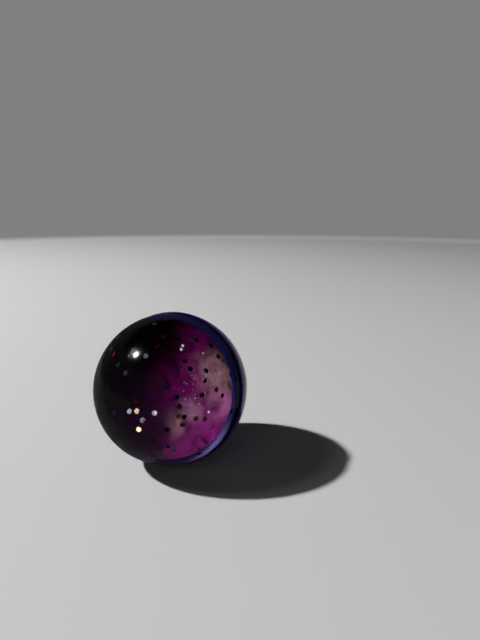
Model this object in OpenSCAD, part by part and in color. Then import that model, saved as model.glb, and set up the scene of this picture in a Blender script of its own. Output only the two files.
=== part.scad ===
// Half-clear bouncy ball: an indigo rubber half and a clear rubber half with glitter
// in it, moulded together over a printed galaxy disc. The ball stands on the origin,
// and its clear half looks along -Y and a little up.

/* [Ball] */
// Diameter of the indigo rear half
ball_d = 45; // [38:0.5:60]
// Height of the step at the seam, from the rear half down to the clear half
seam_step = 0.5; // [0.2:0.1:1]
// Bevel on the rear half's rim at the seam
rim_bevel = 0.3; // [0.1:0.1:0.5]
// Angle by which the clear half looks up from level
lean = 14; // [0:1:40]

/* [Galaxy disc] */
// Diameter of the printed disc between the halves
disc_d = 29.5; // [20:0.5:32]
// Thickness of the printed disc
disc_t = 0.8; // [0.4:0.1:2]
// How far the disc sits to the right of the middle, seen from in front
disc_right = 1.8; // [0:0.2:2]
// How far the disc sits above the middle
disc_up = 0.8; // [0:0.2:2]
// Gap round the disc in its seat
disc_fit = 0.05; // [0.02:0.01:0.2]

/* [Glitter] */
// Width of a six-sided flake across its flats
flake_w = 1.3; // [0.6:0.1:1.4]
// Thickness of a flake
flake_t = 0.1; // [0.05:0.05:0.2]
// Gap between a flake and the rubber round it
flake_fit = 0.02; // [0.01:0.01:0.04]
// Rubber over the middle of the shallowest flakes
flake_cover = 1; // [0.8:0.1:2]
// Depth over which the flakes are spread below that
flake_spread = 4; // [0:0.5:5]
// Largest tilt of the silver and gold flakes off the dome's own slope, up or down and to either side
bright_tilt = 35; // [0:5:45]
// Largest tilt of the other flakes off the dome's own slope
dark_tilt = 15; // [0:5:45]
// Turn of the scattered flakes about the middle of the clear half
glitter_turn = 0; // [0:5:355]

/* [Hidden] */
$fn = 96;

ball_r = ball_d / 2;
clear_r = ball_r - seam_step;
flake_sides = 6;

// Places of the flakes of each colour, as seen from in front of the clear half:
// degrees to the right of its middle, and degrees above it
silver_places = [
    [9, -15], [-4, -12], [-9, 16], [19, -53], [54, 15], [17, -31], [37, -45], [17, -10], [0, 33],
    [66, -23], [-60, 10]
];
gold_places = [[5, -9], [3, -26], [45, 49], [-50, 30], [-65, -20]];
red_places = [
    [15, 47], [10, 41], [22, 43], [-39, 28], [15, 9], [3, -2], [45, 63], [37, 29], [78, 35],
    [71, 3], [38, -17], [-78, -12]
];
green_places = [
    [-6, 60], [-23, 21], [-3, -6], [56, 51], [64, 8], [80, -9], [-24, -44], [69, -49], [-70, 15]
];
blue_places = [
    [24, 9], [-20, -16], [32, 3], [53, 4], [23, -41], [29, -36], [57, 23], [11, -57], [-60, 40]
];
copper_places = [[34, -10], [49, -14], [55, -13], [-70, 28], [-66, -40]];
black_places = [
    [65, 41], [42, 24], [80, 18], [35, -5], [39, -12], [27, -21], [31, 51], [-50, -30], [-76, 0]
];
BRIGHT_PLACES = [silver_places, gold_places];
DARK_PLACES = [red_places, green_places, blue_places, copper_places, black_places];

// Depths and tilts run through their ranges in a mixed order along each list
depth_share = 0.62;
tilt_up_start = 50;
tilt_up_step = 65;
tilt_side_start = 15;
tilt_side_step = 155;
spin_step = 40;

function past_whole(x) = x - floor(x);

function flake_depth(i) = flake_cover + flake_spread * past_whole(i * depth_share);

function flake_lean(i, tilt) = [
    -tilt * cos(tilt_up_start - tilt_up_step * i),
    -tilt * sin(tilt_side_start + tilt_side_step * i),
    0
];

// Stands the ball on the origin, with the middle of the clear half turned from +Z to the front
module set_down() {
    translate([0, 0, ball_r])
        rotate([90 - lean, 0, 0])
            children();
}

// Half of a ball with its flat face on z = 0
module half_ball(r) {
    intersection() {
        sphere(r);
        translate([-2 * r, -2 * r, 0])
            cube(4 * r);
    }
}

// One flake in the dome, larger by the gap on every side where it is a pocket
module flake(place, i, tilt, gap) {
    corner_r = (flake_w / 2 + gap) / cos(180 / flake_sides);
    thickness = flake_t + 2 * gap;
    rotate([0, 0, glitter_turn])
        rotate([-place[1], place[0], 0])
            translate([0, 0, clear_r - flake_depth(i)])
                rotate(flake_lean(i, tilt))
                    rotate([0, 0, spin_step * i])
                        cylinder(r = corner_r, h = thickness, center = true, $fn = flake_sides);
}

module flakes(places, tilt, gap = 0) {
    for (i = [0 : len(places) - 1])
        flake(places[i], i, tilt, gap);
}

// Ring that cuts the bevel along the rear half's rim
module rim_cut() {
    rotate_extrude()
        polygon([
            [ball_r - 2 * rim_bevel, rim_bevel],
            [ball_r + rim_bevel, rim_bevel],
            [ball_r + rim_bevel, -2 * rim_bevel]
        ]);
}

module rear_half() {
    color("indigo")
        set_down()
            difference() {
                mirror([0, 0, 1])
                    half_ball(ball_r);
                translate([disc_right, disc_up, -disc_t])
                    cylinder(d = disc_d + 2 * disc_fit, h = 2 * disc_t);
                rim_cut();
            }
}

module galaxy_disc() {
    color("mediumvioletred")
        set_down()
            translate([disc_right, disc_up, -disc_t])
                cylinder(d = disc_d, h = disc_t);
}

module clear_half() {
    color([0.86, 0.8, 0.92, 0.4])
        set_down()
            difference() {
                half_ball(clear_r);
                for (places = BRIGHT_PLACES)
                    flakes(places, bright_tilt, flake_fit);
                for (places = DARK_PLACES)
                    flakes(places, dark_tilt, flake_fit);
            }
}

module silver_flakes() {
    color("silver")
        set_down()
            flakes(silver_places, bright_tilt);
}

module gold_flakes() {
    color("gold")
        set_down()
            flakes(gold_places, bright_tilt);
}

module red_flakes() {
    color("crimson")
        set_down()
            flakes(red_places, dark_tilt);
}

module green_flakes() {
    color("seagreen")
        set_down()
            flakes(green_places, dark_tilt);
}

module blue_flakes() {
    color("royalblue")
        set_down()
            flakes(blue_places, dark_tilt);
}

module copper_flakes() {
    color("peru")
        set_down()
            flakes(copper_places, dark_tilt);
}

module black_flakes() {
    color([0.06, 0.04, 0.08])
        set_down()
            flakes(black_places, dark_tilt);
}

rear_half();
galaxy_disc();
clear_half();
silver_flakes();
gold_flakes();
red_flakes();
green_flakes();
blue_flakes();
copper_flakes();
black_flakes();
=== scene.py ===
# %% [markdown]
# # A half-clear bouncy ball
# The ball is two halves of rubber, moulded together over a printed disc. The rear half is
# glossy indigo. The front half is clear, holds glitter, and works as a strong lens, so that
# the small disc seems to fill it. This lesson builds the three bodies with bmesh operators
# and gives every surface, the glitter too, a finish made of shader nodes.

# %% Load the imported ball
import math

import bmesh
import bpy
from mathutils import Euler, Matrix, Vector


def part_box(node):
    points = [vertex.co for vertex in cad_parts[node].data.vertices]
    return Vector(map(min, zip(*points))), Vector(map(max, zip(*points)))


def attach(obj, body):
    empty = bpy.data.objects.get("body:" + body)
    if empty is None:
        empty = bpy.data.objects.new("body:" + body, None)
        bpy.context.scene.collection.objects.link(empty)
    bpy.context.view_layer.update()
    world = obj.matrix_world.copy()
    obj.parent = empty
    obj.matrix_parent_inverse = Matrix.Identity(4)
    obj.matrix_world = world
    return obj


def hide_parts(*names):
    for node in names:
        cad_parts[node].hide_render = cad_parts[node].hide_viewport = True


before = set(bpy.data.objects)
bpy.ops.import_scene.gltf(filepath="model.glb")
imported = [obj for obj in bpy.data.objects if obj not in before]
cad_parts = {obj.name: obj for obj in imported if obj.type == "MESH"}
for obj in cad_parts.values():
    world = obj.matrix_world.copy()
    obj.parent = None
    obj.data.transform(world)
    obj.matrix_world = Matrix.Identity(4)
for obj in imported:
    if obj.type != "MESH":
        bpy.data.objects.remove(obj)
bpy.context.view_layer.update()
print("CAD nodes:", ", ".join(sorted(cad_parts)))

# %% [markdown]
# ## Sizes
# Every size comes from the loaded solids. Typed sizes would do for one ball, but they would be
# wrong as soon as the solids change. A ball is the same all round its own axis, and its widest
# side lies along X, so half of a body's width in X is its radius.

# %% Measure the three bodies
MM = 0.001


def half_width(body):
    low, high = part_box(body)
    return (high.x - low.x) / 2


ball_r = half_width("rear_half")
dome_r = half_width("clear_half")
disc_r = half_width("galaxy_disc")
centre = Vector((0, 0, ball_r))
print(f"radius of ball {ball_r / MM:.2f}, dome {dome_r / MM:.2f}, disc {disc_r / MM:.2f} mm")

# %% [markdown]
# The disc's largest faces are flat, so their normal says which way the clear half looks. How
# far the disc's points spread along that normal is its thickness.

# %% Find which way the clear half looks
disc_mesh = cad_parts["galaxy_disc"].data
disc_face = max(disc_mesh.polygons, key=lambda face: face.area)
looks_along = disc_face.normal.copy()
if looks_along.y > 0:
    looks_along.negate()
along = [vertex.co.dot(looks_along) for vertex in disc_mesh.vertices]
disc_t = max(along) - min(along)
lean = math.asin(looks_along.z)
print(f"disc {disc_t / MM:.2f} mm thick, looking up {math.degrees(lean):.1f} degrees")

# %% [markdown]
# Round pieces are easiest to model upright, with the axis along Z, and to lay in place at the
# end. One matrix does that: it turns +Z to where the clear half looks, and lifts the middle of
# the seam to the middle of the ball. Its inverse stands the loaded disc upright, and shows that
# the disc lies a little off the ball's axis, as one that is dropped in by hand does.

# %% Matrix that lays an upright piece in place
QUARTER_TURN = math.radians(90)

lay_down = Euler((QUARTER_TURN - lean, 0, 0))
in_place = Matrix.Translation(centre) @ lay_down.to_matrix().to_4x4()
disc_low, disc_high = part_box("galaxy_disc")
disc_middle = in_place.inverted() @ ((disc_low + disc_high) / 2)
disc_front = Vector((disc_middle.x, disc_middle.y, 0))
print(f"disc off the axis by {disc_front.x / MM:.2f} and {disc_front.y / MM:.2f} mm")

# %% [markdown]
# Every piece goes into the scene in the same way. An object could be turned and moved, but a
# pattern on Object coordinates would then turn with it. So the matrix goes into the mesh, and
# the object stays at the origin, as the loaded solids do. Edges sharper than a set angle stay
# crisp, and the rest is shaded smooth.

# %% Helper that puts a finished mesh into the scene
SHARP_ANGLE = math.radians(35)


def add_piece(name, bm, node):
    bmesh.ops.transform(bm, matrix=in_place, verts=bm.verts)
    bmesh.ops.recalc_face_normals(bm, faces=bm.faces)
    mesh = bpy.data.meshes.new(name)
    bm.to_mesh(mesh)
    bm.free()
    mesh.shade_smooth()
    mesh.set_sharp_from_angle(angle=SHARP_ANGLE)
    piece = bpy.data.objects.new(name, mesh)
    bpy.context.scene.collection.objects.link(piece)
    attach(piece, "root")
    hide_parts(node)
    print(f"{name}: {len(mesh.polygons)} faces")
    return piece


# %% [markdown]
# ## Camera
# The camera stands where the picture was taken: a little to the right of where the clear half
# looks, and somewhat above the ball. A shift of the lens could bring the ball to its place in
# the picture. Turning the camera does it too, and keeps other views centred.

# %% Where the ball is in the picture
PICTURE_W, PICTURE_H = 480, 640
FOCAL_PX = 480
BALL_X_PX, BALL_Y_PX = 170.8, 387.6
CAMERA_PITCH = math.radians(13.7)

right_share = (BALL_X_PX - PICTURE_W / 2) / FOCAL_PX
down_share = (BALL_Y_PX - PICTURE_H / 2) / FOCAL_PX
ahead_share = math.cos(CAMERA_PITCH) - down_share * math.sin(CAMERA_PITCH)
aim_right = -math.atan2(right_share, ahead_share)
print(f"camera aims {math.degrees(aim_right):.1f} degrees to the right of the ball")

# %% Camera
BALL_EDGE_ANGLE = math.radians(8.94)
CAMERA_TURN, CAMERA_RISE = math.radians(29), math.radians(21.5)
SENSOR_MM = 36.0
NEAREST_SEEN = 0.01

towards_camera = Vector((
    math.sin(CAMERA_TURN) * math.cos(CAMERA_RISE),
    -math.cos(CAMERA_TURN) * math.cos(CAMERA_RISE),
    math.sin(CAMERA_RISE),
))
camera_data = bpy.data.cameras.new("photo_camera")
camera_data.sensor_width = SENSOR_MM
camera_data.lens = SENSOR_MM * FOCAL_PX / PICTURE_H
camera_data.clip_start = NEAREST_SEEN
camera = bpy.data.objects.new("photo_camera", camera_data)
camera.location = centre + towards_camera * ball_r / math.sin(BALL_EDGE_ANGLE)
camera.rotation_euler = Euler((QUARTER_TURN - CAMERA_PITCH, 0, CAMERA_TURN - aim_right))
bpy.context.scene.collection.objects.link(camera)
bpy.context.scene.camera = camera
print(f"camera {(camera.location - centre).length / MM:.0f} mm from the ball's middle")

# %% [markdown]
# ## The indigo rear half
# This is the larger shot of rubber, with a shallow seat for the disc in its flat face. A spin
# of a drawn outline would make it too, if the seat were in the middle. Here a sphere is cut in
# half instead, because each step is then one operator: cut, cap and round the rim, then inset
# the flat face, move the inset to where the disc lies, and push it in as the seat.

# %% Helpers for half a ball
ROUND_STEPS = 192
CUT_TOLERANCE = 1e-9


def everything(bm):
    return bm.verts[:] + bm.edges[:] + bm.faces[:]


def half_sphere(radius, cut_at, keep_above):
    bm = bmesh.new()
    bmesh.ops.create_uvsphere(
        bm, u_segments=ROUND_STEPS, v_segments=ROUND_STEPS // 2, radius=radius,
    )
    bmesh.ops.bisect_plane(
        bm, geom=everything(bm), dist=CUT_TOLERANCE,
        plane_co=(0, 0, cut_at), plane_no=(0, 0, 1),
        clear_inner=keep_above, clear_outer=not keep_above,
    )
    rim = [edge for edge in bm.edges if edge.is_boundary]
    bmesh.ops.edgeloop_fill(bm, edges=rim)
    return bm, rim


def largest_face(bm):
    return max(bm.faces, key=lambda face: face.calc_area())


def only_verts(geom):
    return [item for item in geom if isinstance(item, bmesh.types.BMVert)]


# %% Model the rear half
RIM_ROUND, RIM_STEPS = 0.3 * MM, 5
SEAT_GAP = 0.05 * MM

bm, rim = half_sphere(ball_r, 0, keep_above=False)
bmesh.ops.bevel(
    bm, geom=rim, offset=RIM_ROUND, offset_type="OFFSET", affect="EDGES",
    segments=RIM_STEPS, profile=0.5, material=-1,
)
flat_face = largest_face(bm)
flat_r = max(vertex.co.xy.length for vertex in flat_face.verts)
ring_w = flat_r - disc_r - SEAT_GAP
bmesh.ops.inset_region(bm, faces=[flat_face], thickness=ring_w, use_even_offset=True)
seat_face = largest_face(bm)
bmesh.ops.translate(bm, vec=disc_front, verts=seat_face.verts)
seat = bmesh.ops.extrude_face_region(bm, geom=[seat_face])
bmesh.ops.translate(bm, vec=(0, 0, -disc_t), verts=only_verts(seat["geom"]))
bmesh.ops.delete(bm, geom=[seat_face], context="FACES_ONLY")
rear_half = add_piece("indigo_half", bm, "rear_half")

# %% [markdown]
# ## The clear front half
# The clear half is bonded to the flat face behind it, with no air between. The same helper
# makes it, cut on the other side. A cut just at the seam would leave a thin gap, and light that
# leaves a clear body into a gap is mirrored back at low angles, which would hide the disc. So
# the dome reaches a hair into the pieces behind it, and a ray inside it meets the disc first.

# %% Model the clear half
BOND_DEPTH = 0.05 * MM

bm, _ = half_sphere(dome_r, -BOND_DEPTH, keep_above=True)
clear_half = add_piece("clear_half_dome", bm, "clear_half")

# %% [markdown]
# ## The printed disc
# A stamped film disc lies in the seat. A cylinder would do from afar. Here a filled circle is
# extruded to its thickness, so that its front edge is easy to pick for the small round that
# stamping leaves.

# %% Model the disc
STAMPED_EDGE, STAMPED_STEPS = 0.04 * MM, 3

bm = bmesh.new()
bmesh.ops.create_circle(
    bm, cap_ends=True, segments=ROUND_STEPS, radius=disc_r,
    matrix=Matrix.Translation(disc_front),
)
drawn = bmesh.ops.extrude_face_region(bm, geom=bm.faces[:])
bmesh.ops.translate(bm, vec=(0, 0, -disc_t), verts=only_verts(drawn["geom"]))
front_edges = [
    edge for edge in bm.edges
    if all(vertex.co.z > -disc_t / 2 for vertex in edge.verts)
]
bmesh.ops.bevel(
    bm, geom=front_edges, offset=STAMPED_EDGE, offset_type="OFFSET", affect="EDGES",
    segments=STAMPED_STEPS, profile=0.5, material=-1,
)
galaxy_disc = add_piece("galaxy_print_disc", bm, "galaxy_disc")

# %% [markdown]
# ## Finishes
# Each finish is a material made of nodes. Nodes could be placed by hand in the editor, but code
# is easier to read again and to change. A few small helpers keep it short: one adds a node,
# sets its fields and links or fills its sockets, and the others do so for the nodes used most.

# %% Helpers for nodes
def node(tree, kind, sockets=None, **fields):
    made = tree.nodes.new(kind)
    for name, value in fields.items():
        setattr(made, name, value)
    for name, value in (sockets or {}).items():
        if isinstance(value, bpy.types.NodeSocket):
            tree.links.new(value, made.inputs[name])
        else:
            made.inputs[name].default_value = value
    return made


def maths(tree, operation, *values):
    made = node(tree, "ShaderNodeMath", dict(enumerate(values)), operation=operation)
    return made.outputs[0]


GIVES_NUMBER = ("DOT_PRODUCT", "LENGTH", "DISTANCE")


def vector_maths(tree, operation, *values):
    made = node(tree, "ShaderNodeVectorMath", dict(enumerate(values)), operation=operation)
    return made.outputs["Value" if operation in GIVES_NUMBER else "Vector"]


def ramp(tree, value, start, end, top=1, soft=False, clamp=True):
    sockets = {"Value": value, "From Min": start, "From Max": end, "To Max": top}
    course = "SMOOTHSTEP" if soft else "LINEAR"
    made = node(tree, "ShaderNodeMapRange", sockets, interpolation_type=course, clamp=clamp)
    return made.outputs["Result"]


MIX_FACTOR, MIX_A, MIX_B, MIX_RESULT = 0, 6, 7, 2


def mix_colour(tree, factor, a, b):
    sockets = {MIX_FACTOR: factor, MIX_A: a, MIX_B: b}
    return node(tree, "ShaderNodeMix", sockets, data_type="RGBA").outputs[MIX_RESULT]


def mix_shader(tree, factor, a, b):
    return node(tree, "ShaderNodeMixShader", {0: factor, 1: a, 2: b}).outputs["Shader"]


# %% [markdown]
# A material starts with a Principled shader already in it. Every pattern on this ball reads
# Object coordinates, in metres, because they need no unwrapping and stay with the piece. A
# group holds an effect that is used more than once, and gets named sockets.

# %% Helpers for materials and groups
def new_material(name):
    material = bpy.data.materials.new(name)
    material.use_nodes = True
    tree = material.node_tree
    return material, tree, tree.nodes["Principled BSDF"].inputs


def object_coords(tree):
    return node(tree, "ShaderNodeTexCoord").outputs["Object"]


def new_group(name, inputs, outputs):
    tree = bpy.data.node_groups.new(name, "ShaderNodeTree")
    for label, kind in inputs.items():
        tree.interface.new_socket(label, in_out="INPUT", socket_type=kind)
    for label, kind in outputs.items():
        tree.interface.new_socket(label, in_out="OUTPUT", socket_type=kind)
    group_in = tree.nodes.new("NodeGroupInput").outputs
    group_out = tree.nodes.new("NodeGroupOutput").inputs
    print("group:", name)
    return tree, group_in, group_out


def give(piece, material):
    piece.data.materials.clear()
    piece.data.materials.append(material)
    print(f"{piece.name} gets {material.name}")


# %% [markdown]
# A toy that is handled and bounced has faint smudges and fine scuffs. They show only in the
# gloss. Painted scratches would be seen as stripes, so three noises of different scale do it.
# The group gives a smudge mask and a height for a bump. Both kinds of rubber use it, each with
# its own amounts.

# %% Group for handling marks
SMUDGES_PER_M, SCUFFS_PER_M, GRAIN_PER_M = 90, 420, 2600
SMUDGE_DETAIL, SCUFF_DETAIL, GRAIN_DETAIL = 4, 3, 2
SMUDGE_FROM, SMUDGE_TO = 0.5, 0.75
GRAIN_SHARE = 0.3

marks, marks_in, marks_out = new_group(
    "handling marks",
    {"Vector": "NodeSocketVector"},
    {"Smudge": "NodeSocketFloat", "Height": "NodeSocketFloat"},
)


def marks_noise(scale, detail):
    sockets = {"Vector": marks_in["Vector"], "Scale": scale, "Detail": detail}
    return node(marks, "ShaderNodeTexNoise", sockets).outputs["Fac"]


smudges = marks_noise(SMUDGES_PER_M, SMUDGE_DETAIL)
smudge_mask = ramp(marks, smudges, SMUDGE_FROM, SMUDGE_TO, soft=True)
marks.links.new(smudge_mask, marks_out["Smudge"])
scuffs = marks_noise(SCUFFS_PER_M, SCUFF_DETAIL)
grain = marks_noise(GRAIN_PER_M, GRAIN_DETAIL)
height = maths(marks, "MULTIPLY_ADD", grain, GRAIN_SHARE, scuffs)
marks.links.new(height, marks_out["Height"])

# %% [markdown]
# The indigo rubber is dyed right through. One colour would look like plastic, so noise drifts
# it between a bluer and a redder shade, as where the batch was folded. A part of the drift can
# follow the height instead, as painted shade: the first colour at the top, the second below.

# %% Helpers for dyed rubber with painted shade, and handled rubber
FOLDS_PER_M, FOLD_DETAIL, FOLD_DISTORTION = 70, 5, 1.2
UNSHADED_ABOVE, SHADED_BELOW = 1.3 * ball_r, 0.75 * ball_r
SMUDGED_RUBBER = 0.2
BUMP_STRENGTH, BUMP_DEPTH = 0.3, 0.02 * MM


def dye_and_shade(tree, coords, blue, red, shade_by_height):
    folds = node(tree, "ShaderNodeTexNoise", {
        "Vector": coords, "Scale": FOLDS_PER_M,
        "Detail": FOLD_DETAIL, "Distortion": FOLD_DISTORTION,
    }).outputs["Fac"]
    up = node(tree, "ShaderNodeSeparateXYZ", {"Vector": coords}).outputs["Z"]
    # Painted shade: the lower the point, the more it takes the second colour.
    painted_low_shade = ramp(tree, up, UNSHADED_ABOVE, SHADED_BELOW, top=shade_by_height, clamp=False)
    redness_and_shade = maths(tree, "MULTIPLY_ADD", folds, 1 - shade_by_height, painted_low_shade)
    return mix_colour(tree, redness_and_shade, blue, red)


def handled_skin(tree, coords, shader, least_roughness, gloss):
    wear = node(tree, "ShaderNodeGroup", {"Vector": coords}, node_tree=marks).outputs
    rough = maths(tree, "MULTIPLY_ADD", wear["Smudge"], SMUDGED_RUBBER, least_roughness)
    tree.links.new(rough, shader["Roughness"])
    bump = node(tree, "ShaderNodeBump", {
        "Height": wear["Height"], "Strength": BUMP_STRENGTH, "Distance": BUMP_DEPTH,
    }).outputs["Normal"]
    tree.links.new(bump, shader["Normal"])
    shader["Specular IOR Level"].default_value = gloss


# %% Indigo rubber outside
INDIGO_BLUE, INDIGO_RED = (0.006, 0.005, 0.13, 1), (0.034, 0.01, 0.085, 1)
OUTSIDE_ROUGHNESS, OUTSIDE_GLOSS = 0.18, 0.07

outside, tree, shader = new_material("indigo_rubber")
coords = object_coords(tree)
dye_and_shade_colour = dye_and_shade(tree, coords, INDIGO_BLUE, INDIGO_RED, shade_by_height=0)
tree.links.new(dye_and_shade_colour, shader["Base Color"])
handled_skin(tree, coords, shader, OUTSIDE_ROUGHNESS, OUTSIDE_GLOSS)
give(rear_half, outside)

# %% [markdown]
# The rear half's flat face shows as a ring round the disc. It is bonded to the clear half, and
# where two rubbers meet with no air between, nothing is mirrored, so it has no gloss. Its dye
# has painted shade: it turns darker towards the bottom, and black on the left. A second piece
# could carry that black, but a second material on the same mesh keeps the body in one piece.

# %% Indigo rubber on the bonded face, with painted shade
BONDED_BLUE, BONDED_RED_AND_SHADE = (0.002, 0.001, 0.055, 1), (0.0038, 0.0025, 0.0082, 1)
BONDED_SHADE_BY_HEIGHT, BONDED_ROUGHNESS = 0.8, 0.42
LEFT_SHADE_BLACK = (0.0008, 0.0003, 0.001, 1)
LEFT_SHADE_START, LEFT_SHADE_FULL = -2 * MM, -10 * MM
FACES_FORWARD = 0.99
BONDED = 1

bonded, tree, shader = new_material("indigo_rubber_bonded")
coords = object_coords(tree)
# Painted shade: the ring's colour turns darker towards its bottom.
dye_and_shade_colour = dye_and_shade(tree, coords, BONDED_BLUE, BONDED_RED_AND_SHADE, BONDED_SHADE_BY_HEIGHT)
# Painted shade: the left of the ring turns black.
across = node(tree, "ShaderNodeSeparateXYZ", {"Vector": coords}).outputs["X"]
left_shade = ramp(tree, across, LEFT_SHADE_START, LEFT_SHADE_FULL, soft=True)
tree.links.new(mix_colour(tree, left_shade, dye_and_shade_colour, LEFT_SHADE_BLACK), shader["Base Color"])
handled_skin(tree, coords, shader, BONDED_ROUGHNESS, gloss=0)
rear_half.data.materials.append(bonded)
forward = [
    face for face in rear_half.data.polygons
    if face.normal.dot(looks_along) > FACES_FORWARD
]
for face in forward:
    face.material_index = BONDED
print(f"{bonded.name} on {len(forward)} faces")

# %% [markdown]
# The clear rubber is a Principled shader with full transmission and the index of clear rubber.
# Its skin mirrors less than glass does. A lower index would mirror less too, but would spoil
# the lens. So a Refraction shader, which only bends light, takes over a large share.

# %% Clear rubber: the lens
CLEAR_INDEX, CLEAR_TINT = 1.5, (0.94, 0.91, 0.96, 1)
CLEAR_ROUGHNESS, SMUDGED_CLEAR = 0.1, 0.04
BEND_ONLY = 0.85

clear, clear_tree, shader = new_material("clear_rubber")
shader["Base Color"].default_value = CLEAR_TINT
shader["Transmission Weight"].default_value = 1
shader["IOR"].default_value = CLEAR_INDEX
clear_coords = object_coords(clear_tree)
wear = node(clear_tree, "ShaderNodeGroup", {"Vector": clear_coords}, node_tree=marks).outputs
rough = maths(clear_tree, "MULTIPLY_ADD", wear["Smudge"], SMUDGED_CLEAR, CLEAR_ROUGHNESS)
clear_tree.links.new(rough, shader["Roughness"])
mirrored = clear_tree.nodes["Principled BSDF"].outputs["BSDF"]
bent = node(clear_tree, "ShaderNodeBsdfRefraction", {
    "Color": CLEAR_TINT, "Roughness": 0, "IOR": CLEAR_INDEX,
}).outputs["BSDF"]
lens = mix_shader(clear_tree, BEND_ONLY, mirrored, bent)
give(clear_half, clear)

# %% [markdown]
# A lens gathers a lamp's light, here in a crescent on the far side of the flat face, and leaves
# the rest of that side dark. Cycles would find that only by chance. So a lamp's own rays cross
# the dome in a straight line, and are made weaker or stronger by where on the flat face they
# land. This cell finds that place: it goes from a point of the skin along the lamp's direction
# until it meets the flat face.

# %% Clear rubber: where a lamp's ray lands
KEY_FROM = Vector((-0.651, -0.251, 0.716)).normalized()

slant = KEY_FROM.dot(looks_along)
from_middle = vector_maths(clear_tree, "SUBTRACT", clear_coords, centre)
lift = vector_maths(clear_tree, "DOT_PRODUCT", from_middle, looks_along / slant)
crossed = node(clear_tree, "ShaderNodeVectorMath", {
    0: KEY_FROM, "Scale": lift,
}, operation="SCALE").outputs["Vector"]
landing = vector_maths(clear_tree, "SUBTRACT", from_middle, crossed)
reach = vector_maths(clear_tree, "LENGTH", landing)
on_face = maths(clear_tree, "LESS_THAN", reach, dome_r)
print(f"lamp meets the flat face at {math.degrees(math.asin(slant)):.0f} degrees")

# %% [markdown]
# The gathered light grows steadily towards the far side, peaks in the crescent and ends at a
# round edge. The values follow a trace of rays through such a dome, and then the picture. A
# table of traced light would do as well, but a few plain curves are smooth and easy to change.

# %% Clear rubber: how strong the gathered light is
MIDDLE_LIGHT, GROWTH = 0.78, 1.5
CRESCENT_R, CRESCENT_W, CRESCENT_BLUR = 0.8 * dome_r, 0.09 * dome_r, 0.02 * dome_r
CRESCENT_LIGHT, CRESCENT_TAPER = 200, 22

far_side = (looks_along * slant - KEY_FROM).normalized()
far_share = vector_maths(clear_tree, "DOT_PRODUCT", landing, far_side / CRESCENT_R)
growth = maths(clear_tree, "EXPONENT", maths(clear_tree, "MULTIPLY", far_share, GROWTH))
spread = maths(clear_tree, "MULTIPLY", growth, MIDDLE_LIGHT)
fold = ramp(
    clear_tree, reach, CRESCENT_R - CRESCENT_W, CRESCENT_R, top=CRESCENT_LIGHT, soft=True,
)
taper = maths(clear_tree, "POWER", maths(clear_tree, "MAXIMUM", far_share, 0), CRESCENT_TAPER)
strength = maths(clear_tree, "MULTIPLY_ADD", fold, taper, spread)
within = ramp(
    clear_tree, reach, CRESCENT_R + CRESCENT_BLUR, CRESCENT_R - CRESCENT_BLUR, soft=True,
)
ended = maths(clear_tree, "MULTIPLY", strength, within)
gathered = maths(clear_tree, "MULTIPLY", ended, 1 / slant)
print(f"crescent {CRESCENT_W / MM:.1f} mm wide, {CRESCENT_R / MM:.1f} mm from the middle")

# %% [markdown]
# Each kind of ray takes its own way. A ray that is seen goes through the lens. A lamp's ray
# goes straight: inside the dome with the gathered strength, or weakly where it belongs to the
# glitter, and outside nearly black, because the long way through the rubber swallows light
# that is on its way to the floor. A ray that bounces off the floor finds the dome dark too.
# Light Path and Backfacing tell the rays apart, so no second copy of the dome is needed.

# %% Clear rubber: one way for each kind of ray
STRAIGHT_TO_FLAKES, STRAIGHT_TO_FLOOR = (0.1, 0.1, 0.1, 1), (0.04, 0.025, 0.035, 1)


def straight_way(colour):
    return node(clear_tree, "ShaderNodeBsdfTransparent", {"Color": colour}).outputs["BSDF"]


ray = node(clear_tree, "ShaderNodeLightPath").outputs
leaving = node(clear_tree, "ShaderNodeNewGeometry").outputs["Backfacing"]
inside = mix_colour(clear_tree, on_face, STRAIGHT_TO_FLAKES, gathered)
lamp_way = straight_way(mix_colour(clear_tree, leaving, STRAIGHT_TO_FLOOR, inside))
bounced = mix_shader(clear_tree, leaving, straight_way(STRAIGHT_TO_FLOOR), lens)
seen = mix_shader(clear_tree, ray["Is Diffuse Ray"], lens, bounced)
either = mix_shader(clear_tree, ray["Is Shadow Ray"], seen, lamp_way)
clear_tree.links.new(either, clear_tree.nodes["Material Output"].inputs["Surface"])
print(f"{clear.name}: {len(clear_tree.nodes)} nodes")

# %% [markdown]
# ## The galaxy print
# The print is clouds of ink on black. A painted picture would need an image file. Here each
# cloud is a soft round patch from one group, and its coordinates are first pushed about by
# noise, which frays it into wisps. The stars and a painted glint are small, sharp patches of
# the same group.

# %% Group for one cloud of ink
cloud, cloud_in, cloud_out = new_group(
    "ink cloud",
    {"Vector": "NodeSocketVector", "Middle": "NodeSocketVector", "Reach": "NodeSocketFloat"},
    {"Mask": "NodeSocketFloat"},
)
away = vector_maths(cloud, "DISTANCE", cloud_in["Vector"], cloud_in["Middle"])
cloud.links.new(ramp(cloud, away, cloud_in["Reach"], 0, soft=True), cloud_out["Mask"])

# %% [markdown]
# A Mapping node brings the coordinates to the disc, so that its middle is zero and its edge is
# at one. Noise colours serve as pushes in three directions, once half is taken off them. A
# second, finer noise on the pushed coordinates thins the ink into wisps.

# %% Galaxy print: coordinates and wisps
BILLOWS, BILLOW_DETAIL, BILLOW_ROUGHNESS = 2.4, 6, 0.6
MIDDLE_OF_NOISE, PUSH = 0.5, 0.45
WISPS, WISP_DETAIL, WISP_ROUGHNESS = 5, 8, 0.65
WISP_FROM, WISP_TO = 0.28, 0.54
PRINT_ROUGHNESS = 0.5

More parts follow.
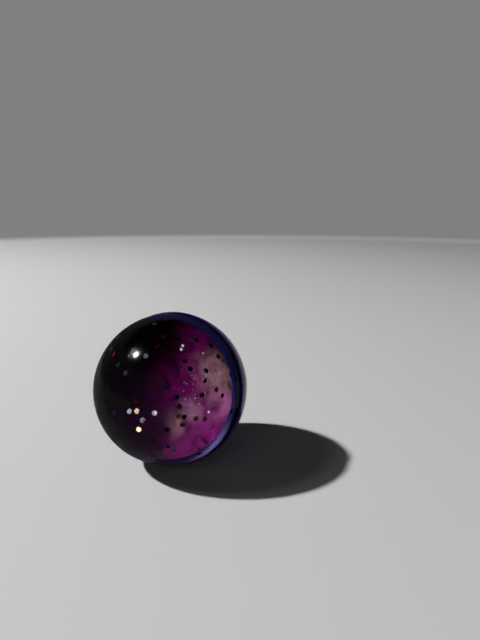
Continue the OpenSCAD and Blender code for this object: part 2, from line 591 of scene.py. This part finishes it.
galaxy, galaxy_tree, shader = new_material("galaxy_print")
disc_coords = node(galaxy_tree, "ShaderNodeMapping", {
    "Vector": object_coords(galaxy_tree), "Location": in_place @ disc_front,
    "Rotation": lay_down, "Scale": (disc_r,) * 3,
}, vector_type="TEXTURE").outputs["Vector"]
billow = node(galaxy_tree, "ShaderNodeTexNoise", {
    "Vector": disc_coords, "Scale": BILLOWS,
    "Detail": BILLOW_DETAIL, "Roughness": BILLOW_ROUGHNESS,
}).outputs["Color"]
push = vector_maths(galaxy_tree, "ADD", billow, (-MIDDLE_OF_NOISE,) * 3)
frayed = vector_maths(galaxy_tree, "MULTIPLY_ADD", push, (PUSH,) * 3, disc_coords)
wisps = node(galaxy_tree, "ShaderNodeTexNoise", {
    "Vector": frayed, "Scale": WISPS,
    "Detail": WISP_DETAIL, "Roughness": WISP_ROUGHNESS,
}).outputs["Fac"]
wisp_mask = ramp(galaxy_tree, wisps, WISP_FROM, WISP_TO)
shader["Roughness"].default_value = PRINT_ROUGHNESS
shader["Specular IOR Level"].default_value = 0
give(galaxy_disc, galaxy)

# %% [markdown]
# The clouds lie over one another in the order of printing, from dark plum on the left to pale
# rose on the right. Two black ones come last and eat into the colours from the left. A list is
# used because a cloud is then one line, and easy to move.

# %% Galaxy print: clouds
NIGHT, PLUM = (0.0008, 0.0003, 0.001, 1), (0.01, 0.0006, 0.01, 1)
MAGENTA, ROSE = (0.07, 0.001, 0.042, 1), (0.1, 0.008, 0.072, 1)
PALE, ORCHID = (0.185, 0.095, 0.112, 1), (0.2, 0.06, 0.15, 1)
LILAC = (0.24, 0.14, 0.19, 1)
# Colour, middle across and up the disc, reach, and strength of each cloud
CLOUDS = (
    (PLUM, (-0.3, -0.3), 0.8, 1.0),
    (MAGENTA, (0.2, 0), 0.75, 1.0),
    (MAGENTA, (0.25, 0.7), 0.5, 1.0),
    (ROSE, (0.2, 0.25), 0.35, 0.7),
    (ROSE, (0.55, -0.6), 0.8, 1.0),
    (ROSE, (0.05, -0.9), 0.5, 0.6),
    (PALE, (0.62, 0.25), 0.55, 0.9),
    (ORCHID, (0.85, -0.2), 0.4, 0.8),
    (LILAC, (0.24, -0.33), 0.25, 0.5),
    (PALE, (0, -0.48), 0.25, 0.8),
    (NIGHT, (-0.5, 0.6), 0.75, 1.0),
    (NIGHT, (-0.95, -0.1), 0.5, 1.0),
)


def patch_mask(coords, place, patch_r):
    sockets = {"Vector": coords, "Middle": (*place, 0), "Reach": patch_r}
    return node(galaxy_tree, "ShaderNodeGroup", sockets, node_tree=cloud).outputs["Mask"]


ink = NIGHT
for colour, place, patch_r, opacity in CLOUDS:
    share = maths(galaxy_tree, "MULTIPLY", patch_mask(frayed, place, patch_r), wisp_mask)
    share = maths(galaxy_tree, "MULTIPLY", share, opacity)
    ink = mix_colour(galaxy_tree, share, ink, colour)
print(len(CLOUDS), "clouds")

# %% [markdown]
# Star dust lies over the rosy middle. A Voronoi texture gives one speck in each of its cells
# and a random colour for the cell, whose red decides whether the speck shines. The few large
# stars are set one by one, because the eye notices where they are. The first two are a painted
# glint: a pair of white dots standing in for small glints in the rubber.

# %% Galaxy print: dust, stars and a painted glint
STAR_AND_GLINT_WHITE = (0.9, 0.85, 0.9, 1)
DUST_CELLS = 26
SPECK_EDGE, SPECK_CORE = 0.24, 0.08
DARK_CELLS, DUST_LIGHT = 0.6, 0.65
DUST_PLACE, DUST_REACH = (0.3, 0), 0.6
# Middle across and up the disc, and reach of each large star; the first two are a painted glint
STARS_AND_GLINTS = (
    # A painted glint: two white dots in place of small glints in the rubber.
    ((0.01, 0.56), 0.03),
    ((-0.01, 0.5), 0.03),
    ((0.51, -0.32), 0.02),
    ((0.36, 0.52), 0.015),
)

dust = node(galaxy_tree, "ShaderNodeTexVoronoi", {"Vector": disc_coords, "Scale": DUST_CELLS})
speck = ramp(galaxy_tree, dust.outputs["Distance"], SPECK_EDGE, SPECK_CORE)
cell = node(galaxy_tree, "ShaderNodeSeparateColor", {"Color": dust.outputs["Color"]})
lit = ramp(galaxy_tree, cell.outputs["Red"], DARK_CELLS, 1, top=DUST_LIGHT)
lit_speck = maths(galaxy_tree, "MULTIPLY", speck, lit)
dusty = patch_mask(frayed, DUST_PLACE, DUST_REACH)
ink = mix_colour(galaxy_tree, maths(galaxy_tree, "MULTIPLY", lit_speck, dusty), ink, STAR_AND_GLINT_WHITE)
for place, spot_r in STARS_AND_GLINTS:
    ink = mix_colour(galaxy_tree, patch_mask(disc_coords, place, spot_r), ink, STAR_AND_GLINT_WHITE)
galaxy_tree.links.new(ink, shader["Base Color"])
print(f"{galaxy.name}: {len(STARS_AND_GLINTS)} stars, {len(galaxy_tree.nodes)} nodes")

# %% [markdown]
# ## Glitter
# The flakes are six-sided cuts of metallised film. They could be scattered again here, but the
# CAD solids already have the right shape and place, so they stay and only get a finish. Silver
# and gold are bright film, and the other colours are dyed film, which is duller. Fine noise in
# the tint and the roughness keeps a flake from looking like a flat chip.

# %% Glitter
BRIGHT_FILM, DYED_FILM = 0.18, 0.4
GLITTER = {
    "silver_flakes": (BRIGHT_FILM, (0.24, 0.24, 0.25, 1)),
    "gold_flakes": (BRIGHT_FILM, (1, 0.76, 0.4, 1)),
    "red_flakes": (DYED_FILM, (0.08, 0.001, 0.001, 1)),
    "green_flakes": (DYED_FILM, (0.001, 0.03, 0.01, 1)),
    "blue_flakes": (DYED_FILM, (0.003, 0.007, 0.08, 1)),
    "copper_flakes": (DYED_FILM, (0.11, 0.03, 0.008, 1)),
    "black_flakes": (DYED_FILM, (0.006, 0.005, 0.007, 1)),
}
FILM_PER_M, FILM_DETAIL = 1500, 2
DULL_SHADE, DULL_ROUGHNESS = 0.7, 0.15

for name, (least_roughness, tint) in GLITTER.items():
    glitter, tree, shader = new_material(name.replace("flakes", "glitter"))
    film = node(tree, "ShaderNodeTexNoise", {
        "Vector": object_coords(tree), "Scale": FILM_PER_M, "Detail": FILM_DETAIL,
    }).outputs["Fac"]
    shade = tuple(DULL_SHADE * share for share in tint[:3]) + (1,)
    tree.links.new(mix_colour(tree, film, shade, tint), shader["Base Color"])
    shader["Metallic"].default_value = 1
    rough = maths(tree, "MULTIPLY_ADD", film, DULL_ROUGHNESS, least_roughness)
    tree.links.new(rough, shader["Roughness"])
    give(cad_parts[name], glitter)

# %% [markdown]
# ## Stage
# The ball stands in a wide round bowl: a pale floor that turns up, in a small cove, into a
# plain wall. A flat backdrop would do for one view, but a bowl is there from every side. It is
# drawn up from a filled circle, ring by ring. It casts no shadow, so that a lamp outside it
# lights the floor too.

# %% Model the stage bowl
FLOOR_R, WALL_H = 0.95, 0.7
COVE_R, COVE_STEPS = 0.04, 12

flat_floor_r = FLOOR_R - COVE_R
turns = [QUARTER_TURN * step / COVE_STEPS for step in range(1, COVE_STEPS + 1)]
sections = [
    (flat_floor_r + COVE_R * math.sin(turn), COVE_R - COVE_R * math.cos(turn))
    for turn in turns
]
sections.append((FLOOR_R, WALL_H))
bm = bmesh.new()
bmesh.ops.create_circle(bm, cap_ends=True, segments=ROUND_STEPS, radius=flat_floor_r)
ring, ring_r, ring_z = bm.edges[:], flat_floor_r, 0
for next_r, next_z in sections:
    drawn = bmesh.ops.extrude_edge_only(bm, edges=ring)["geom"]
    upper = only_verts(drawn)
    bmesh.ops.scale(bm, vec=(next_r / ring_r, next_r / ring_r, 1), verts=upper)
    bmesh.ops.translate(bm, vec=(0, 0, next_z - ring_z), verts=upper)
    edges = [item for item in drawn if isinstance(item, bmesh.types.BMEdge)]
    ring = [edge for edge in edges if edge.is_boundary]
    ring_r, ring_z = next_r, next_z
bmesh.ops.recalc_face_normals(bm, faces=bm.faces)
bowl_mesh = bpy.data.meshes.new("studio_bowl")
bm.to_mesh(bowl_mesh)
bm.free()
bowl_mesh.shade_smooth()
bowl = bpy.data.objects.new("studio_bowl", bowl_mesh)
bpy.context.scene.collection.objects.link(bowl)
bowl.visible_shadow = False
print(f"{bowl.name}: {len(bowl_mesh.polygons)} faces")

# %% [markdown]
# The floor is pale and matt, and takes the lamps' light. The wall could be painted, but it would
# be lit on one side and dark on the other. So it glows a plain grey instead, for rays that are
# seen, mirrored or bent, and gives the ball no light of its own.

# %% Stage finish
FLOOR_PALE, WALL_GREY, BLACK = (0.78, 0.78, 0.77, 1), (0.2, 0.2, 0.193, 1), (0, 0, 0, 1)
WALL_FROM = COVE_R / 4
MATT = 0.9

pale, tree, shader = new_material("pale_stage")
up = node(tree, "ShaderNodeSeparateXYZ", {"Vector": object_coords(tree)}).outputs["Z"]
on_wall = ramp(tree, up, 0, WALL_FROM)
tree.links.new(mix_colour(tree, on_wall, FLOOR_PALE, BLACK), shader["Base Color"])
tree.links.new(mix_colour(tree, on_wall, BLACK, WALL_GREY), shader["Emission Color"])
lighting = node(tree, "ShaderNodeLightPath").outputs["Is Diffuse Ray"]
tree.links.new(maths(tree, "SUBTRACT", 1, lighting), shader["Emission Strength"])
shader["Roughness"].default_value = MATT
give(bowl, pale)

# %% [markdown]
# ## Light
# One bright light from the upper left gives the picture its look. A single lamp as small and
# strong as that light would be noisy, so three lamps share its work. The key lamp lights the
# print and the floor and draws the shadow. The glint lamp shows only in the gloss of the skin.
# The flash lamp shows only through the dome, on the flakes, and only before a ray has bounced
# off something dull. Each is switched off for the rays of the others. A dim lamp in front and a
# faint world keep the dark side from being black.

# %% Helper for round lamps
def round_lamp(name, towards, distance, size, watts):
    lamp = bpy.data.lights.new(name, "AREA")
    lamp.shape = "DISK"
    lamp.size = size
    lamp.energy = watts
    holder = bpy.data.objects.new(name, lamp)
    direction = Vector(towards).normalized()
    holder.location = centre + direction * distance
    holder.rotation_euler = direction.to_track_quat("Z", "Y").to_euler()
    holder.visible_camera = False
    bpy.context.scene.collection.objects.link(holder)
    print(f"{name}: {size} m wide, {distance} m away, {watts} W")
    return holder


# %% Key lamp and glint lamp
LAMP_REACH = 1.5
KEY_SIZE, KEY_WATTS = 0.06, 21
GLINT_FROM = (-0.591, -0.332, 0.762)
GLINT_SIZE, GLINT_WATTS = 0.18, 32

key = round_lamp("key_lamp", KEY_FROM, LAMP_REACH, KEY_SIZE, KEY_WATTS)
key.visible_transmission = False
key.visible_glossy = False
glint = round_lamp("glint_lamp", GLINT_FROM, LAMP_REACH, GLINT_SIZE, GLINT_WATTS)
glint.visible_transmission = False
glint.visible_diffuse = False

# %% Flash lamp
FLASH_SIZE, FLASH_WATTS = 0.3, 7

flash = round_lamp("flash_lamp", KEY_FROM, LAMP_REACH, FLASH_SIZE, FLASH_WATTS)
flash.visible_diffuse = False
flash.visible_glossy = False
flash.data.use_nodes = True
tree = flash.data.node_tree
bounces = node(tree, "ShaderNodeLightPath").outputs["Diffuse Depth"]
unbounced = node(tree, "ShaderNodeMath", {0: 1, 1: bounces}, operation="SUBTRACT", use_clamp=True)
tree.links.new(unbounced.outputs[0], tree.nodes["Emission"].inputs["Strength"])

# %% Front lamp and world
FRONT_FROM, FRONT_REACH = (0.1, -1, 0.5), 0.7
FRONT_SIZE, FRONT_WATTS = 0.5, 0.1
WORLD_WHITE, WORLD_STRENGTH = (1, 1, 1, 1), 0.009

front = round_lamp("front_lamp", FRONT_FROM, FRONT_REACH, FRONT_SIZE, FRONT_WATTS)
front.visible_glossy = False
world = bpy.data.worlds.new("studio")
world.use_nodes = True
background = world.node_tree.nodes["Background"].inputs
background["Color"].default_value = WORLD_WHITE
background["Strength"].default_value = WORLD_STRENGTH
bpy.context.scene.world = world
bpy.context.scene.view_settings.view_transform = "Standard"
print(f"world: strength {WORLD_STRENGTH}")
